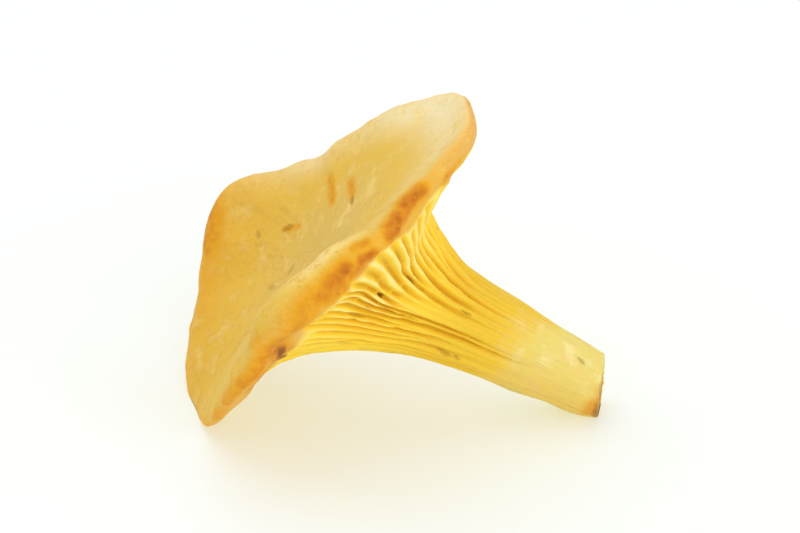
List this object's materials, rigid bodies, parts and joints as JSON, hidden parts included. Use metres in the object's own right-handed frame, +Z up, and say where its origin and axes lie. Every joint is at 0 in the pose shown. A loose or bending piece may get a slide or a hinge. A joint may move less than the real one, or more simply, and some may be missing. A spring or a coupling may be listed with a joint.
{
  "type": "chanterelle mushroom",
  "caption": "Picked chanterelle lying on its side: wavy funnel cap with a rolled margin, forked ridges running down a tapered stem, cut foot.",
  "frame": {"origin": "on the surface it lies on, under the middle of its box", "axes": "+Z up, +X from the cap towards the foot of the stem, -Y the side that faces the viewer"},
  "size_m": [0.0516, 0.0454, 0.0417],
  "materials": {
    "flesh": "matte egg-yellow mushroom flesh, paler cap and stem, darker in the grooves"
  },
  "bodies": {
    "root": {"chanterelle": "flesh"}
  },
  "joints": []
}
